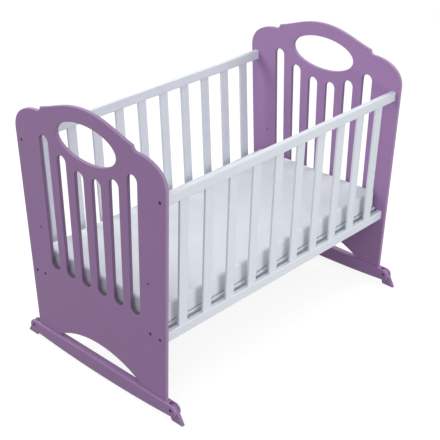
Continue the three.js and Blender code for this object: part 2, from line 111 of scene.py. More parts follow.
def arc(centre, radius, start, end):
    """Knots of a round stretch, with one for each quarter turn or less."""
    parts = max(1, math.ceil(abs(end - start) / (math.pi / 2) - 0.001))
    step = (end - start) / parts
    reach = radius * 4 / 3 * math.tan(step / 4)
    knots = []
    for index in range(parts + 1):
        angle = start + index * step
        out = Vector((math.cos(angle), math.sin(angle)))
        along = Vector((-out.y, out.x)) * reach
        point = Vector(centre) + radius * out
        back = point - along if index > 0 else None
        ahead = point + along if index < parts else None
        knots.append((point, back, ahead))
    return knots


def mirrored(knots):
    """The same stretch on the other side of the middle, in the order that closes the outline."""
    flip = Vector((-1, 1))
    return [
        tuple(value * flip if value else None for value in (point, ahead, back))
        for point, back, ahead in reversed(knots)
    ]


def panel_outline():
    """The outline of the board, anticlockwise from the right foot."""
    foot = panel_low.z
    cove_radius = dome_tip_height - shoulder_top
    cove_foot = dome_tip_half_width + cove_radius
    dome_rise = panel_high.z - dome_tip_height
    bend_height = shoulder_height + shoulder_bend
    arch_end = math.acos(foot_inner / arch_radius)
    cove = arc((cove_foot, dome_tip_height), cove_radius, -math.pi / 2, -math.pi)
    side = [
        (Vector((half_width_at(foot), foot)), None, None),
        (
            Vector((shoulder_half_width, shoulder_height)),
            None,
            Vector((half_width_at(bend_height), bend_height)),
        ),
        (cove[0][0], cove[0][0] + Vector((shoulder_bend, 0)), cove[0][2]),
        (
            cove[1][0],
            cove[1][1],
            Vector(
                (
                    dome_tip_half_width * dome_tip_across_share,
                    dome_tip_height + dome_rise * dome_tip_rise_share,
                )
            ),
        ),
    ]
    crown = Vector((0, panel_high.z))
    spread = Vector((dome_tip_half_width * dome_flat_share, 0))
    upper = side + [(crown, crown + spread, crown - spread)] + mirrored(side)
    arch = arc((0, arch_height - arch_radius), arch_radius, math.pi - arch_end, arch_end)
    left_foot = [(Vector((-foot_inner, foot)), None, None)]
    right_foot = [(Vector((foot_inner, foot)), None, None)]
    return upper + left_foot + arch + right_foot


def oval(across, up, half_width, half_height):
    """A closed oval as four knots."""
    pull = 4 / 3 * math.tan(math.pi / 8)
    knots = []
    for quarter in range(4):
        angle = quarter * math.pi / 2
        out = Vector((math.cos(angle), math.sin(angle)))
        along = Vector((-out.y, out.x)) * pull
        size = Vector((half_width, half_height))
        centre = Vector((across, up))
        back = centre + (out - along) * size
        ahead = centre + (out + along) * size
        knots.append((centre + out * size, back, ahead))
    return knots


def slot_outline(share, top):
    """A slot with round ends that keeps its share of the half width all the way up."""
    radius = slot_width / 2
    low, high = slot_bottom + radius, top - radius
    low_across, high_across = share * half_width_at(low), share * half_width_at(high)
    turn = math.atan((high_across - low_across) / (high - low))
    upper = arc((high_across, high), radius, -turn, math.pi - turn)
    return upper + arc((low_across, low), radius, math.pi - turn, 2 * math.pi - turn)


def make_active(piece):
    """Selects one piece and nothing else."""
    bpy.ops.object.select_all(action="DESELECT")
    piece.select_set(True)
    bpy.context.view_layer.objects.active = piece


def standing_board(name, outlines, thickness, edge_radius, place):
    """A board with rounded edges, cut from flat outlines and stood across the bed at place along X."""
    bpy.ops.object.select_all(action="DESELECT")
    bpy.ops.curve.primitive_bezier_curve_add()
    board = bpy.context.object
    board.name = name
    curve = board.data
    curve.splines.clear()
    curve.dimensions = "2D"
    curve.fill_mode = "BOTH"
    curve.resolution_u = 14
    curve.extrude = thickness / 2 - edge_radius
    curve.bevel_depth = edge_radius
    curve.bevel_resolution = 4
    curve.offset = -edge_radius
    for outline in outlines:
        spline = curve.splines.new("BEZIER")
        spline.use_cyclic_u = True
        spline.bezier_points.add(len(outline) - 1)
        for knot, (point, back, ahead) in zip(spline.bezier_points, outline):
            knot.co = (*point, 0)
            knot.handle_left_type = "FREE" if back else "VECTOR"
            knot.handle_right_type = "FREE" if ahead else "VECTOR"
            if back:
                knot.handle_left = (*back, 0)
            if ahead:
                knot.handle_right = (*ahead, 0)
    bpy.ops.object.convert(target="MESH")
    board = bpy.context.object
    board.rotation_euler = (math.pi / 2, 0, math.pi / 2)
    board.location = (place, 0, 0)
    bpy.ops.object.transform_apply()
    bpy.ops.object.mode_set(mode="EDIT")
    bpy.ops.mesh.select_all(action="SELECT")
    bpy.ops.mesh.remove_doubles(threshold=0.00002)
    bpy.ops.mesh.normals_make_consistent(inside=False)
    bpy.ops.object.mode_set(mode="OBJECT")
    return board


def turned(name, profile, place, steps=32):
    """A round piece turned on an axis along X: profile holds (along, radius) pairs from end to end."""
    bpy.ops.object.select_all(action="DESELECT")
    bpy.ops.mesh.primitive_circle_add(vertices=3, radius=1)
    piece = bpy.context.object
    piece.name = name
    bpy.ops.object.mode_set(mode="EDIT")
    shape = bmesh.from_edit_mesh(piece.data)
    bmesh.ops.delete(shape, geom=shape.verts[:], context="VERTS")
    knots = [shape.verts.new((along, 0, radius)) for along, radius in profile]
    for before, after in zip(knots, knots[1:]):
        shape.edges.new((before, after))
    bmesh.update_edit_mesh(piece.data)
    bpy.ops.mesh.select_all(action="SELECT")
    bpy.ops.mesh.spin(steps=steps, angle=2 * math.pi, center=(0, 0, 0), axis=(1, 0, 0))
    bpy.ops.mesh.select_all(action="SELECT")
    bpy.ops.mesh.remove_doubles(threshold=0.00001)
    bpy.ops.mesh.normals_make_consistent(inside=False)
    bpy.ops.object.mode_set(mode="OBJECT")
    piece.location = place
    bpy.ops.object.transform_apply()
    return piece


def joined(pieces):
    """Several pieces as one."""
    bpy.ops.object.select_all(action="DESELECT")
    for piece in pieces:
        piece.select_set(True)
    bpy.context.view_layer.objects.active = pieces[0]
    bpy.ops.object.join()
    return pieces[0]


def apply_all(piece):
    """Applies the modifiers of a piece."""
    make_active(piece)
    for modifier in list(piece.modifiers):
        bpy.ops.object.modifier_apply(modifier=modifier.name)


def cut(piece, cutters):
    """Cuts the cutters' shapes out of a piece."""
    tool = joined(cutters)
    boolean = piece.modifiers.new("Cut", "BOOLEAN")
    boolean.object = tool
    boolean.solver = "EXACT"
    apply_all(piece)
    bpy.data.objects.remove(tool)


def smooth(piece):
    """Smooth rounded edges beside flat faces that stay flat."""
    sharp_angle = math.radians(35)
    make_active(piece)
    bpy.ops.object.shade_smooth_by_angle(angle=sharp_angle)
    weighted = piece.modifiers.new("Flat faces", "WEIGHTED_NORMAL")
    weighted.weight = 100
    weighted.keep_sharp = True
    apply_all(piece)


def leaned(inwards, up):
    """Reach from the middle and height of a point on the leaning side of the crib."""
    side_inset = 0.0146
    reach = floor_half_width - side_inset + up * math.sin(lean) - inwards * math.cos(lean)
    return reach, up * math.cos(lean) + inwards * math.sin(lean)


rail_thickness = 0.0165
rail_height = 0.032
rail_places = {"top": 0.693, "bottom": 0.2595}
base_low, base_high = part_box("base_front_rail")
base_reach = -(base_low.y + base_high.y) / 2
base_hole_height = (base_low.z + base_high.z) / 2
base_level_rise = 0.1625
screw_places = {level: leaned(rail_thickness / 2, up) for level, up in rail_places.items()}
screw_places["base"] = (base_reach, base_hole_height)
spare_place = (base_reach, base_hole_height + base_level_rise)
hole_steps = 24
hole_overrun = 0.005
screw_hole_profile = (
    (-hole_overrun, 0),
    (-hole_overrun, 0.0052),
    (0.0002, 0.0052),
    (0.0005, 0.0049),
    (0.0017, 0.0049),
    (0.0035, 0.0037),
    (0.017, 0.0037),
    (0.017, 0),
)


def end_panel(name):
    """The left end panel, sawn, eased and drilled."""
    outlines = [panel_outline()]
    outlines.append(oval(0, hand_hole["height"], hand_hole["half_width"], hand_hole["half_height"]))
    for index, top in enumerate(slot_tops):
        share = slot_pitch_share * (index + 0.5)
        outlines += [slot_outline(share, top), slot_outline(-share, top)]
    middle = (panel_low.x + panel_high.x) / 2
    board = standing_board(name, outlines, panel_thickness, panel_edge_radius, middle)
    holes = []
    for reach, height in [*screw_places.values(), spare_place]:
        for across in (-1, 1):
            place = (panel_low.x, across * reach, height)
            holes.append(turned("Hole", screw_hole_profile, place, hole_steps))
    cut(board, holes)
    smooth(board)
    # Painted shade on the walls of the slots, a greyer tone on the other edges.
    mark_edge_shade(board, panel_edge_shade)
    return board


# Tones of the boards' edge faces: greyer on the outline, painted shade on the slot walls.
edge_shade = 0.5
slot_shade = 1.0


def panel_edge_shade(across, height):
    """Tone of an edge face of the end panel: greyer outside the slots, painted shade in the slots."""
    slots_reach, margin, hand_hole_share = 0.21, 0.001, 1.1
    beside_slots = slot_bottom - margin < height < slot_tops[-1] + margin
    in_slots = abs(across) < slots_reach and beside_slots
    from_hand_hole = math.hypot(
        across / hand_hole["half_width"],
        (height - hand_hole["height"]) / hand_hole["half_height"],
    )
    return slot_shade if in_slots and from_hand_hole > hand_hole_share else edge_shade


def mark_edge_shade(board, shade_at):
    """Marks each edge face with the tone at its middle, for greyer paint and painted shade."""
    flat_face_limit = 0.7
    mark = board.data.attributes.new("painted_shade", "FLOAT", "FACE")
    for face, value in zip(board.data.polygons, mark.data):
        if abs(face.normal.x) < flat_face_limit:
            value.value = shade_at(face.center.y, face.center.z)


def copy_moved(piece, name, matrix):
    """A copy with its own mesh, moved by a matrix."""
    copy = piece.copy()
    copy.data = piece.data.copy()
    copy.name = name
    bpy.context.collection.objects.link(copy)
    copy.data.transform(matrix)
    return copy


half_turn = Matrix.Rotation(math.pi, 4, "Z")


def half_turned_copy(piece, name):
    """The same piece at the other end, turned half round about the crib's middle."""
    return copy_moved(piece, name, half_turn)


def fitted(piece, node, body, material):
    """Puts a finished piece in the place of its CAD node."""
    piece.data.materials.clear()
    piece.data.materials.append(material)
    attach(piece, body)
    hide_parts(node)


def paint_film():
    """Sprayed paint as a node group: a faint cloudiness of tone, the orange peel of the spray and
    the grain of the board that shows through it."""
    group = bpy.data.node_groups.new("Paint film", "ShaderNodeTree")
    face = group.interface
    for label, kind, value in (
        ("Colour", "NodeSocketColor", (0.5, 0.5, 0.5, 1)),
        ("Cloud", "NodeSocketFloat", 0.05),
        ("Gloss", "NodeSocketFloat", 0.4),
        ("Grain", "NodeSocketVector", (1, 1, 1)),
        ("Grain depth", "NodeSocketFloat", 0.1),
    ):
        socket = face.new_socket(name=label, in_out="INPUT", socket_type=kind)
        socket.default_value = value
    face.new_socket(name="Colour", in_out="OUTPUT", socket_type="NodeSocketColor")
    face.new_socket(name="Roughness", in_out="OUTPUT", socket_type="NodeSocketFloat")
    face.new_socket(name="Normal", in_out="OUTPUT", socket_type="NodeSocketVector")
    nodes, links = group.nodes, group.links
    given = nodes.new("NodeGroupInput")
    out = nodes.new("NodeGroupOutput")
    place = nodes.new("ShaderNodeTexCoord")
    cloud = nodes.new("ShaderNodeTexNoise")
    cloud.inputs["Scale"].default_value = 7
    cloud.inputs["Detail"].default_value = 3
    links.new(place.outputs["Object"], cloud.inputs["Vector"])
    centred = nodes.new("ShaderNodeMapRange")
    centred.inputs["From Min"].default_value = 0.3
    centred.inputs["From Max"].default_value = 0.7
    centred.inputs["To Min"].default_value = -1
    centred.inputs["To Max"].default_value = 1
    links.new(cloud.outputs["Fac"], centred.inputs["Value"])
    tone = nodes.new("ShaderNodeMath")
    tone.operation = "MULTIPLY_ADD"
    links.new(centred.outputs["Result"], tone.inputs[0])
    links.new(given.outputs["Cloud"], tone.inputs[1])
    tone.inputs[2].default_value = 1
    shade = nodes.new("ShaderNodeHueSaturation")
    links.new(tone.outputs["Value"], shade.inputs["Value"])
    links.new(given.outputs["Colour"], shade.inputs["Color"])
    links.new(shade.outputs["Color"], out.inputs["Colour"])
    stretch = nodes.new("ShaderNodeVectorMath")
    stretch.operation = "MULTIPLY"
    links.new(place.outputs["Object"], stretch.inputs[0])
    links.new(given.outputs["Grain"], stretch.inputs[1])
    grain = nodes.new("ShaderNodeTexNoise")
    grain.inputs["Scale"].default_value = 60
    grain.inputs["Detail"].default_value = 4
    links.new(stretch.outputs["Vector"], grain.inputs["Vector"])
    peel = nodes.new("ShaderNodeTexNoise")
    peel.inputs["Scale"].default_value = 420
    peel.inputs["Detail"].default_value = 1
    links.new(place.outputs["Object"], peel.inputs["Vector"])
    height = nodes.new("ShaderNodeMath")
    height.operation = "MULTIPLY_ADD"
    links.new(grain.outputs["Fac"], height.inputs[0])
    links.new(given.outputs["Grain depth"], height.inputs[1])
    links.new(peel.outputs["Fac"], height.inputs[2])
    bump = nodes.new("ShaderNodeBump")
    bump.inputs["Strength"].default_value = 0.25
    bump.inputs["Distance"].default_value = 0.0002
    links.new(height.outputs["Value"], bump.inputs["Height"])
    links.new(bump.outputs["Normal"], out.inputs["Normal"])
    rough = nodes.new("ShaderNodeMath")
    rough.operation = "MULTIPLY_ADD"
    links.new(centred.outputs["Result"], rough.inputs[0])
    rough.inputs[1].default_value = 0.04
    links.new(given.outputs["Gloss"], rough.inputs[2])
    links.new(rough.outputs["Value"], out.inputs["Roughness"])
    return group


paint_film_group = paint_film()


def painted(name, colour, cloud, gloss, grain, grain_depth):
    """A satin paint of the given colour over wood or board."""
    material = bpy.data.materials.new(name)
    material.use_nodes = True
    nodes, links = material.node_tree.nodes, material.node_tree.links
    film = nodes.new("ShaderNodeGroup")
    film.node_tree = paint_film_group
    film.inputs["Colour"].default_value = (*colour, 1)
    film.inputs["Cloud"].default_value = cloud
    film.inputs["Gloss"].default_value = gloss
    film.inputs["Grain"].default_value = grain
    film.inputs["Grain depth"].default_value = grain_depth
    shader = nodes["Principled BSDF"]
    shader.inputs["Specular IOR Level"].default_value = 0.22
    links.new(film.outputs["Colour"], shader.inputs["Base Color"])
    links.new(film.outputs["Roughness"], shader.inputs["Roughness"])
    links.new(film.outputs["Normal"], shader.inputs["Normal"])
    return material


board_film = (0.03, 0.45, (1, 1, 1), 0.1)


def shaded_board_paint(name, face, edge, slot):
    """Purple paint of the boards: greyer on outline edges, painted shade in slots and on stopper
    edges.
    """
    material = painted(name, face, *board_film)
    nodes, links = material.node_tree.nodes, material.node_tree.links
    mark = nodes.new("ShaderNodeAttribute")
    mark.attribute_name = "painted_shade"
    tone = nodes.new("ShaderNodeValToRGB")
    tone.color_ramp.elements[0].color = (*face, 1)
    tone.color_ramp.elements.new(edge_shade).color = (*edge, 1)
    tone.color_ramp.elements[2].color = (*slot, 1)
    links.new(mark.outputs["Fac"], tone.inputs["Fac"])
    links.new(tone.outputs["Color"], nodes["Group"].inputs["Colour"])
    return material


purple = (0.345, 0.202, 0.402)
purple_paint = painted("Purple satin paint", purple, *board_film)
# The boards' paint, with painted shade in the slots and on the stoppers' edges.
purple_shaded_board = shaded_board_paint(
    "Purple satin paint with painted shade", purple, (0.308, 0.214, 0.352), (0.200, 0.128, 0.236)
)
left_panel = end_panel("left_panel_board")
right_panel = half_turned_copy(left_panel, "right_panel_board")
fitted(left_panel, "left_end_panel", "crib_frame", purple_shaded_board)
fitted(right_panel, "right_end_panel", "crib_frame", purple_shaded_board)

# Rockers: boards of 26 mm, sprayed purple, with a long arc sawn along the lower edge and a
# round nose at each end. Two mortises in the top hold the panel's feet, and each nose is slotted
# for its stopper and drilled for the pivot bolt.
rocker_low, rocker_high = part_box("left_rocker")
rocker_thickness = rocker_high.x - rocker_low.x
rocker_middle = (rocker_low.x + rocker_high.x) / 2
rocker_edge_radius = 0.0045
nose_radius = 0.01975
nose_reach = rocker_high.y - nose_radius
seat_gap = 0.0003
mortise_half_width = panel_thickness / 2 + seat_gap
foot_depth = 0.019
pivot_reach = 0.3145
pivot_height = 0.0395
eye_radius = 0.016
stopper_inner = 0.311
stopper_outer = 0.355
bolt_end_cover = 0.0015
bolt_length = rocker_thickness - bolt_end_cover
bolt_bore_radius = 0.0033
bolt_recess_radius = 0.0058
bolt_recess_depth = 0.0026
bolt_end_showing = 0.0010
cutter_overrun = 0.01


def rocker_outline():
    """The outline of the board, anticlockwise from the left end of the lower arc."""
    end_height = rocker_high.z - 2 * nose_radius
    sag = end_height - rocker_low.z
    radius = (nose_reach**2 + sag**2) / (2 * sag)
    half = math.asin(nose_reach / radius)
    lower = arc((0, rocker_low.z + radius), radius, -math.pi / 2 - half, -math.pi / 2 + half)
    nose = arc((nose_reach, rocker_high.z - nose_radius), nose_radius, -math.pi / 2, math.pi / 2)
    first, last = lower[0], lower[-1]
    right = [(last[0], last[1], nose[0][2]), *nose[1:]]
    left = mirrored(nose)
    return [(first[0], left[-1][1], first[2]), *lower[1:-1], *right, *left[:-1]]


def eye_tangent(reach, radius, turn_side):
    """Direction and length of the tangent from a point on the floor to the eye round the pivot."""
    across, up = pivot_reach - reach, pivot_height
    distance = math.hypot(across, up)
    direction = math.atan2(up, across) + turn_side * math.asin(radius / distance)
    return direction, math.sqrt(distance**2 - radius**2)


def stopper_slot(name, across):
    """The tool that saws the slot for a stopper: it leaves room for it to be folded right up."""
    radius = eye_radius + seat_gap
    inner = stopper_inner - seat_gap
    direction, length = eye_tangent(inner, radius, 1)
    outside = nose_reach + nose_radius + cutter_overrun
    above = rocker_high.z + cutter_overrun
    corners = (
        (inner, 0),
        (outside, 0),
        (outside, above),
        (pivot_reach - radius, above),
        (pivot_reach - radius, pivot_height),
        (inner + length * math.cos(direction), length * math.sin(direction)),
    )
    bpy.ops.object.select_all(action="DESELECT")
    bpy.ops.mesh.primitive_circle_add(vertices=len(corners), fill_type="NGON")
    tool = bpy.context.object
    tool.name = name
    for vertex, (reach, height) in zip(tool.data.vertices, corners):
        vertex.co = (rocker_middle - mortise_half_width, across * reach, height)
    bpy.ops.object.mode_set(mode="EDIT")
    bpy.ops.mesh.select_all(action="SELECT")
    bpy.ops.mesh.extrude_region_move(
        TRANSFORM_OT_translate={"value": (2 * mortise_half_width, 0, 0)}
    )
    bpy.ops.mesh.select_all(action="SELECT")
    bpy.ops.mesh.normals_make_consistent(inside=False)
    bpy.ops.object.mode_set(mode="OBJECT")
    return tool


def block(name, low, high):
    """A plain block given by its lowest and highest corners."""
    low, high = Vector(low), Vector(high)
    bpy.ops.object.select_all(action="DESELECT")
    bpy.ops.mesh.primitive_cube_add(size=1, location=(low + high) / 2)
    piece = bpy.context.object
    piece.name = name
    piece.scale = high - low
    bpy.ops.object.transform_apply()
    return piece


def rocker_board(name):
    """The left rocker."""
    board = standing_board(
        name, [rocker_outline()], rocker_thickness, rocker_edge_radius, rocker_middle
    )
    seat = rocker_high.z - foot_depth
    ends = (foot_inner - seat_gap, half_width_at(rocker_high.z) + seat_gap)
    for across in (-1, 1):
        near, far = sorted(across * end for end in ends)
        low = (rocker_middle - mortise_half_width, near, seat)
        high = (rocker_middle + mortise_half_width, far, rocker_high.z + cutter_overrun)
        cut(board, [block("Mortise", low, high)])
        cut(board, [stopper_slot("Slot", across)])
    bolt_hole = (
        (-hole_overrun, 0),
        (-hole_overrun, bolt_recess_radius),
        (bolt_recess_depth, bolt_recess_radius),
        (bolt_recess_depth, bolt_bore_radius),
        (bolt_length - bolt_end_showing, bolt_bore_radius),
        (bolt_length - bolt_end_showing, bolt_recess_radius),
        (rocker_thickness + hole_overrun, bolt_recess_radius),
        (rocker_thickness + hole_overrun, 0),
    )
    places = [(rocker_low.x, across * pivot_reach, pivot_height) for across in (-1, 1)]
    cut(board, [turned("Hole", bolt_hole, place, hole_steps) for place in places])
    smooth(board)
    return board


left_rocker = rocker_board("left_rocker_board")
right_rocker = half_turned_copy(left_rocker, "right_rocker_board")
fitted(left_rocker, "left_rocker", "crib_frame", purple_paint)
fitted(right_rocker, "right_rocker", "crib_frame", purple_paint)

# Stoppers: flat levers in the slots of the rocker noses, round at the pivot and drawn out to a flat
# foot. Folded down they hold the crib still, and folded up they let it rock.
stopper_play = 0.0006
stopper_thickness = 2 * mortise_half_width - 2 * stopper_play
stopper_edge_radius = 0.0015
# Painted shade on the stoppers' edge faces, close to the slots' tone.
lever_shade = 0.9


def stopper_lever(name, across):
    """A lever of the left end: across is -1 at the front and 1 at the back."""
    inner = eye_tangent(stopper_inner, eye_radius, 1)[0]
    outer = eye_tangent(stopper_outer, eye_radius, -1)[0]
    eye = arc((pivot_reach, pivot_height), eye_radius, outer - math.pi / 2, inner + math.pi / 2)
    outline = [
        (Vector((stopper_inner, 0)), None, None),
        (Vector((stopper_outer, 0)), None, None),
        *eye,
    ]
    if across < 0:
        outline = mirrored(outline)
    lever = standing_board(name, [outline], stopper_thickness, stopper_edge_radius, rocker_middle)
    hole = (
        (0, 0),
        (0, bolt_bore_radius),
        (rocker_thickness, bolt_bore_radius),
        (rocker_thickness, 0),
    )
    place = (rocker_low.x, across * pivot_reach, pivot_height)
    cut(lever, [turned("Hole", hole, place, hole_steps)])
    smooth(lever)
    # Painted shade on all the lever's edge faces.
    mark_edge_shade(lever, lambda across, height: lever_shade)
    return lever


for side, across in (("front", -1), ("back", 1)):
    other = "back" if side == "front" else "front"
    lever = stopper_lever(f"{side}_left_stopper_lever", across)
    far_lever = half_turned_copy(lever, f"{other}_right_stopper_lever")
    for piece, place in ((lever, f"{side}_left"), (far_lever, f"{other}_right")):
        fitted(piece, f"stopper_{place}", f"stopper_{place}", purple_shaded_board)

# Pivot bolts and connector screws: dark plated steel with a round flush head and a hexagon socket.
# The bolts carry the stoppers, and the screws pull the side and base rails against the end panels.
bolt_profile = (
    (0.0006, 0),
    (0, 0.0012),
    (0, 0.0040),
    (0.0004, 0.0045),
    (0.0020, 0.0045),
    (0.0020, 0.0030),
    (bolt_length, 0.0030),
    (bolt_length, 0),
)
screw_profile = (
    (0.0004, 0),
    (0, 0.0012),
    (0, 0.0042),
    (0.0003, 0.0046),
    (0.0014, 0.0046),
    (0.0032, 0.0034),
    (0.0117, 0.0034),
    (0.0120, 0.0025),
    (0.0470, 0.0025),
    (0.0500, 0),
)


def dark_steel_finish():
    """Dark plated steel, a little uneven in tone and gloss."""
    material = bpy.data.materials.new("Dark plated steel")
    material.use_nodes = True
    nodes, links = material.node_tree.nodes, material.node_tree.links
    shader = nodes["Principled BSDF"]
    shader.inputs["Metallic"].default_value = 0.4
    place = nodes.new("ShaderNodeTexCoord")
    mottle = nodes.new("ShaderNodeTexNoise")
    mottle.inputs["Scale"].default_value = 700
    links.new(place.outputs["Object"], mottle.inputs["Vector"])
    tint = nodes.new("ShaderNodeValToRGB")
    tint.color_ramp.elements[0].position = 0.35
    tint.color_ramp.elements[0].color = (0.016, 0.012, 0.020, 1)
    tint.color_ramp.elements[1].position = 0.70
    tint.color_ramp.elements[1].color = (0.038, 0.031, 0.044, 1)
    links.new(mottle.outputs["Fac"], tint.inputs["Fac"])
    links.new(tint.outputs["Color"], shader.inputs["Base Color"])
    rough = nodes.new("ShaderNodeMapRange")
    rough.inputs["To Min"].default_value = 0.45
    rough.inputs["To Max"].default_value = 0.65
    links.new(mottle.outputs["Fac"], rough.inputs["Value"])
    links.new(rough.outputs["Result"], shader.inputs["Roughness"])
    return material


dark_steel = dark_steel_finish()


def with_socket(piece, radius, depth):
    """Sinks a hexagon socket into the head of a screw that points along +X."""
    bpy.ops.object.select_all(action="DESELECT")
    bpy.ops.mesh.primitive_cylinder_add(
        vertices=6, radius=radius, depth=2 * depth, rotation=(0, math.pi / 2, 0)
    )
    cut(piece, [bpy.context.object])
    smooth(piece)
    return piece


bolt = with_socket(turned("Bolt", bolt_profile, (0, 0, 0)), radius=0.002, depth=0.002)
screw = with_socket(turned("Screw", screw_profile, (0, 0, 0)), radius=0.0023, depth=0.0026)
for side, across in (("front", -1), ("back", 1)):
    for end in ("left", "right"):
        turn = half_turn if end == "right" else Matrix.Identity(4)
        local_across = -across if end == "right" else across
        spot = Matrix.Translation((rocker_low.x, local_across * pivot_reach, pivot_height))
        node = f"pivot_bolt_{side}_{end}"
        piece = copy_moved(bolt, f"{side}_{end}_bolt", turn @ spot)
        fitted(piece, node, "crib_frame", dark_steel)
        for level, (reach, height) in screw_places.items():
            spot = Matrix.Translation((panel_low.x, local_across * reach, height))
            rail_node = f"rail_screw_{side}_{level}_{end}"
            node = f"base_screw_{side}_{end}" if level == "base" else rail_node
            piece = copy_moved(screw, f"{side}_{level}_{end}_screw", turn @ spot)
            fitted(piece, node, "crib_frame", dark_steel)
bpy.data.objects.remove(bolt)
bpy.data.objects.remove(screw)

# Slatted sides: two rails of solid wood with ten flat slats in their mortises. The side leans with
# the taper of the end panels. All long edges are rounded, and the side is painted white.
# The overall box ends at the rockers, so this half length is 7 mm past the panels' inner faces: the
# rails run into the panels and the slats stand up to 7 mm further out than their solids.
side_half_length = cad_high.x - panel_thickness
rail_edge_radius = 0.003
slat_edge_radius = 0.002
slat_thickness = 0.008
slat_width = 0.034
slat_count = 10
slat_end_gap = 0.0645
mortise_depth = 0.010


def batten(name, low, high, edge_radius, axis):
    """A straight batten with its four long edges rounded: axis is the one that it runs along."""
    piece = block(name, low, high)
    bpy.ops.object.mode_set(mode="EDIT")
    shape = bmesh.from_edit_mesh(piece.data)
    bpy.ops.mesh.select_mode(type="EDGE")
    bpy.ops.mesh.select_all(action="DESELECT")
    for edge in shape.edges:
        run = edge.verts[1].co - edge.verts[0].co
        edge.select_set(abs(run[axis]) > 0.5 * run.length)
    bmesh.update_edit_mesh(piece.data)
    bpy.ops.mesh.bevel(offset=edge_radius, segments=4, affect="EDGES")
    bpy.ops.mesh.select_all(action="SELECT")
    bpy.ops.mesh.normals_make_consistent(inside=False)
    bpy.ops.object.mode_set(mode="OBJECT")
    return piece


def white_paint(name, grain):
    """White satin paint over wood whose grain is drawn out along one axis."""
    return painted(name, (0.67, 0.70, 0.755), 0.015, 0.38, grain, 1.2)


white_along = white_paint("White paint along", (0.04, 1, 1))
white_upright = white_paint("White paint upright", (1, 1, 0.04))
white_across = white_paint("White paint across", (1, 0.04, 1))

first_slat = slat_end_gap + slat_width / 2 - side_half_length
slat_pitch = -2 * first_slat / (slat_count - 1)
slat_places = [first_slat + index * slat_pitch for index in range(slat_count)]


def side_rail(name, level):
    """A side rail upright at the origin, with mortises in the edge that faces the slats."""
    half_length = side_half_length - seat_gap
    half = Vector((half_length, rail_thickness / 2, rail_height / 2))
    rail = batten(name, -half, half, rail_edge_radius, 0)
    face = half.z if level == "bottom" else -half.z
    inner = face - math.copysign(mortise_depth, face)
    outer = face + math.copysign(mortise_depth, face)
    tools = []
    for place in slat_places:
        corner = Vector((slat_width / 2 + seat_gap, slat_thickness / 2 + seat_gap, 0))
        low = Vector((place, 0, min(inner, outer))) - corner
        high = Vector((place, 0, max(inner, outer))) + corner
        tools.append(block("Mortise", low, high))
    cut(rail, tools)
    smooth(rail)
    return rail


def side_slat(name):
    """A slat upright at the origin."""
    opening = rail_places["top"] - rail_places["bottom"] - rail_height
    half = Vector((slat_width / 2, slat_thickness / 2, opening / 2 + mortise_depth - seat_gap))
    slat = batten(name, -half, half, slat_edge_radius, 2)
    smooth(slat)
    return slat


top_rail, bottom_rail = side_rail("Top rail", "top"), side_rail("Bottom rail", "bottom")
slat = side_slat("Slat")
face_reach = leaned(0, 0)[0]
for side, across in (("front", -1), ("back", 1)):
    foot = Matrix.Translation((0, across * face_reach, 0))
    standing = foot @ Matrix.Rotation(-across * lean, 4, "X")
    inset = -across * rail_thickness / 2
    for level, rail in (("top", top_rail), ("bottom", bottom_rail)):
        spot = standing @ Matrix.Translation((0, inset, rail_places[level]))
        piece = copy_moved(rail, f"{side}_{level}_side_rail", spot)
        fitted(piece, f"{side}_{level}_rail", "crib_frame", white_along)
    middle = (rail_places["top"] + rail_places["bottom"]) / 2
    for index, place in enumerate(slat_places):
        spot = standing @ Matrix.Translation((place, inset, middle))
        piece = copy_moved(slat, f"{side}_side_slat_{index + 1}", spot)
        fitted(piece, f"{side}_slat_{index + 1}", "crib_frame", white_upright)
for pattern in (top_rail, bottom_rail, slat):
    bpy.data.objects.remove(pattern)

# Bed base: two side rails with a rebate along the inner top edge, two end rails between them, and
# six wide slats lying in the rebates. It is screwed to the end panels and painted white.
base_edge_radius = 0.002
rebate_width = 0.014
base_slat_thickness = 0.012
base_slat_edge_radius = 0.003
base_slat_count = 6

for side, across in (("front", -1), ("back", 1)):
    low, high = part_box(f"base_{side}_rail")
    rail = batten(f"{side}_base_rail", low, high, base_edge_radius, 0)
    inner = across * (base_reach - (high.y - low.y) / 2)
    wall = inner + across * rebate_width
    past = inner - across * cutter_overrun
    rebate = block(
        "Rebate",
        (low.x - cutter_overrun, min(wall, past), high.z - base_slat_thickness),
        (high.x + cutter_overrun, max(wall, past), high.z + cutter_overrun),
    )
    cut(rail, [rebate])
    smooth(rail)
    fitted(rail, f"base_{side}_rail", "crib_frame", white_along)
for end in ("left", "right"):
    low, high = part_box(f"base_{end}_rail")
    rail = batten(f"{end}_base_rail", low, high, base_edge_radius, 1)
    smooth(rail)
    fitted(rail, f"base_{end}_rail", "crib_frame", white_across)
for index in range(base_slat_count):
    low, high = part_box(f"base_slat_{index + 1}")
    board = batten(f"base_board_{index + 1}", low, high, base_slat_edge_radius, 1)
    smooth(board)
    fitted(board, f"base_slat_{index + 1}", "crib_frame", white_across)

# Mattress: a block of foam in a sewn cover of plain white woven cotton. The cover is fuller than the
# foam at its long sides, its top is crowned, and the sides pull in a little between the corners.
mattress_low, mattress_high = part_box("mattress")
cover_swell = 0.002
cover_fullness = 0.0085
cover_edge = 0.008
cover_draw_in = 0.003
cover_crown = 0.003


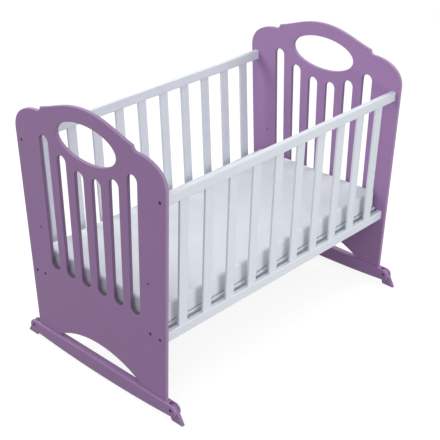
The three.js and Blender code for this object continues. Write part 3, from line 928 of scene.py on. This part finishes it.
def mattress_cover(name):
    """The cover, cut a little small and filled out over its foam by a short cloth simulation."""
    low = mattress_low + Vector((cover_swell, cover_swell - cover_fullness, 0))
    high = mattress_high - Vector((cover_swell, cover_swell - cover_fullness, cover_swell))
    middle, half = (low + high) / 2, (high - low) / 2
    bpy.ops.object.select_all(action="DESELECT")
    bpy.ops.mesh.primitive_grid_add(
        x_subdivisions=80, y_subdivisions=40, size=2, location=(middle.x, middle.y, low.z)
    )
    cover = bpy.context.object
    cover.name = name
    cover.scale = (half.x, half.y, 1)
    bpy.ops.object.transform_apply()
    layers = 6
    bpy.ops.object.mode_set(mode="EDIT")
    bpy.ops.mesh.select_all(action="SELECT")
    for _ in range(layers):
        bpy.ops.mesh.extrude_region_move(
            TRANSFORM_OT_translate={"value": (0, 0, 2 * half.z / layers)}
        )
    bpy.ops.mesh.select_all(action="SELECT")
    bpy.ops.mesh.normals_make_consistent(inside=False)
    bpy.ops.mesh.select_mode(type="EDGE")
    bpy.ops.mesh.select_all(action="DESELECT")
    bpy.ops.mesh.edges_select_sharp(sharpness=math.radians(60))
    bpy.ops.mesh.bevel(offset=cover_edge, segments=4, affect="EDGES")
    bpy.ops.object.mode_set(mode="OBJECT")
    for vertex in cover.data.vertices:
        along, across, up = ((vertex.co[axis] - middle[axis]) / half[axis] for axis in range(3))
        vertex.co.x -= cover_draw_in * (1 - across**2) * along / 2
        vertex.co.y -= cover_draw_in * (1 - along**2) * across
        if up > 0:
            vertex.co.z -= cover_crown * up * (1 - (1 - along**2) * (1 - across**2))
    fill_out(cover, cover_swell, mattress_low.z)
    finer = cover.modifiers.new("Finer mesh", "SUBSURF")
    finer.levels = 1
    finer.render_levels = 1
    apply_all(cover)
    bpy.ops.object.shade_smooth()
    bpy.ops.object.mode_set(mode="EDIT")
    bpy.ops.mesh.select_all(action="SELECT")
    bpy.ops.uv.cube_project(cube_size=1)
    bpy.ops.object.mode_set(mode="OBJECT")
    return cover


def fill_out(cover, furthest, floor_height):
    """Blows a cover up against its seams, with each point kept near the shape it was cut to."""
    pressure, frames = 4, 20
    start = [vertex.co.copy() for vertex in cover.data.vertices]
    cloth = cover.modifiers.new("Filling", "CLOTH")
    cloth.settings.use_pressure = True
    cloth.settings.uniform_pressure_force = pressure
    cloth.settings.effector_weights.gravity = 0
    for moment in range(1, frames + 1):
        bpy.context.scene.frame_set(moment)
    apply_all(cover)
    bpy.context.scene.frame_set(1)
    for vertex, place in zip(cover.data.vertices, start):
        move = vertex.co - place
        if move.length > furthest:
            move *= furthest / move.length
        vertex.co = place + move
        vertex.co.z = max(vertex.co.z, floor_height)


def cotton_cover():
    """Plain woven cotton: a fine weave on the cover's own map, a faint mottle and soft puckers."""
    material = bpy.data.materials.new("White cotton cover")
    material.use_nodes = True
    nodes, links = material.node_tree.nodes, material.node_tree.links
    shader = nodes["Principled BSDF"]
    shader.inputs["Roughness"].default_value = 0.85
    shader.inputs["Specular IOR Level"].default_value = 0.2
    shader.inputs["Sheen Weight"].default_value = 0.03
    laid = nodes.new("ShaderNodeUVMap")
    laid.uv_map = "UVMap"
    threads = []
    for direction in ("X", "Y"):
        thread = nodes.new("ShaderNodeTexWave")
        thread.wave_type = "BANDS"
        thread.bands_direction = direction
        thread.inputs["Scale"].default_value = 240
        thread.inputs["Distortion"].default_value = 0.6
        thread.inputs["Detail"].default_value = 1
        links.new(laid.outputs["UV"], thread.inputs["Vector"])
        threads.append(thread)
    weave = nodes.new("ShaderNodeMath")
    weave.operation = "MULTIPLY"
    links.new(threads[0].outputs["Fac"], weave.inputs[0])
    links.new(threads[1].outputs["Fac"], weave.inputs[1])
    place = nodes.new("ShaderNodeTexCoord")
    mottle = nodes.new("ShaderNodeTexNoise")
    mottle.inputs["Scale"].default_value = 9
    mottle.inputs["Detail"].default_value = 4
    links.new(place.outputs["Object"], mottle.inputs["Vector"])
    mixed = nodes.new("ShaderNodeMath")
    mixed.operation = "MULTIPLY_ADD"
    links.new(weave.outputs["Value"], mixed.inputs[0])
    mixed.inputs[1].default_value = 0.2
    links.new(mottle.outputs["Fac"], mixed.inputs[2])
    tint = nodes.new("ShaderNodeValToRGB")
    tint.color_ramp.elements[0].position = 0.3
    tint.color_ramp.elements[0].color = (0.664, 0.700, 0.728, 1)
    tint.color_ramp.elements[1].position = 0.8
    tint.color_ramp.elements[1].color = (0.705, 0.741, 0.769, 1)
    links.new(mixed.outputs["Value"], tint.inputs["Fac"])
    links.new(tint.outputs["Color"], shader.inputs["Base Color"])
    pucker = nodes.new("ShaderNodeBump")
    pucker.inputs["Strength"].default_value = 0.35
    pucker.inputs["Distance"].default_value = 0.004
    links.new(mottle.outputs["Fac"], pucker.inputs["Height"])
    cloth = nodes.new("ShaderNodeBump")
    cloth.inputs["Strength"].default_value = 0.3
    cloth.inputs["Distance"].default_value = 0.0003
    links.new(weave.outputs["Value"], cloth.inputs["Height"])
    links.new(pucker.outputs["Normal"], cloth.inputs["Normal"])
    links.new(cloth.outputs["Normal"], shader.inputs["Normal"])
    return material


mattress = mattress_cover("mattress_cover")
fitted(mattress, "mattress", "mattress", cotton_cover())

# Floor and light: a pale seamless floor in a white room, a wide low lamp in front of the crib and
# three soft lamps high round it. The floor and the room are white where they are seen or reflected.
bpy.ops.object.select_all(action="DESELECT")
bpy.ops.mesh.primitive_plane_add(size=60)
floor = bpy.context.object
floor.name = "studio_floor"


def seen_or_reflected(nodes, links):
    """A mask of what the camera sees straight, in a gloss or through glass."""
    path = nodes.new("ShaderNodeLightPath")
    mask = path.outputs["Is Camera Ray"]
    for kind in ("Is Glossy Ray", "Is Transmission Ray"):
        both = nodes.new("ShaderNodeMath")
        both.operation = "MAXIMUM"
        links.new(mask, both.inputs[0])
        links.new(path.outputs[kind], both.inputs[1])
        mask = both.outputs["Value"]
    return mask


floor_finish = bpy.data.materials.new("Studio floor")
floor_finish.use_nodes = True
floor_nodes, floor_links = floor_finish.node_tree.nodes, floor_finish.node_tree.links
floor_shader = floor_nodes["Principled BSDF"]
floor_shader.inputs["Base Color"].default_value = (0.20, 0.20, 0.203, 1)
floor_shader.inputs["Roughness"].default_value = 0.95
floor_shader.inputs["Specular IOR Level"].default_value = 0
floor_shader.inputs["Emission Color"].default_value = (1, 1, 1, 1)
paleness = floor_nodes.new("ShaderNodeMath")
paleness.operation = "MULTIPLY"
paleness.inputs[1].default_value = 0.87
floor_links.new(seen_or_reflected(floor_nodes, floor_links), paleness.inputs[0])
floor_links.new(paleness.outputs["Value"], floor_shader.inputs["Emission Strength"])
floor.data.materials.append(floor_finish)
floor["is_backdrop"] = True

world = bpy.data.worlds.new("Studio")
bpy.context.scene.world = world
world.use_nodes = True
world_nodes, world_links = world.node_tree.nodes, world.node_tree.links
room = world_nodes["Background"]
room.inputs["Color"].default_value = (1, 1, 1, 1)
room.inputs["Strength"].default_value = 0.63
backdrop = world_nodes.new("ShaderNodeBackground")
backdrop.inputs["Color"].default_value = (1, 1, 1, 1)
backdrop.inputs["Strength"].default_value = 1
mix = world_nodes.new("ShaderNodeMixShader")
world_links.new(seen_or_reflected(world_nodes, world_links), mix.inputs["Fac"])
world_links.new(room.outputs["Background"], mix.inputs[1])
world_links.new(backdrop.outputs["Background"], mix.inputs[2])
world_links.new(mix.outputs["Shader"], world_nodes["World Output"].inputs["Surface"])


def soft_lamp(name, place, width, height, power):
    """A large lamp that faces the middle of the crib."""
    bpy.ops.object.select_all(action="DESELECT")
    bpy.ops.object.light_add(type="AREA", location=place)
    lamp = bpy.context.object
    lamp.name = name
    lamp.data.shape = "RECTANGLE"
    lamp.data.size = width
    lamp.data.size_y = height
    lamp.data.energy = power
    crib_middle = Vector((0, 0, 0.4))
    aim = crib_middle - Vector(place)
    lamp.rotation_euler = aim.to_track_quat("-Z", "Y").to_euler()


soft_lamp("Lamp in front", (0, -1.95, 0.38), 1.2, 0.3, 14.0)
soft_lamp("Lamp above the near end", (-0.7, 1.4, 1.9), 1.0, 1.0, 22)
soft_lamp("Lamp in front left", (-2.4, -1.8, 2.0), 1.6, 1.6, 16)
soft_lamp("Lamp on the right", (1.8, -0.4, 2.2), 1.4, 1.4, 28)

scene = bpy.context.scene
scene.view_settings.view_transform = "Standard"

low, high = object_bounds()
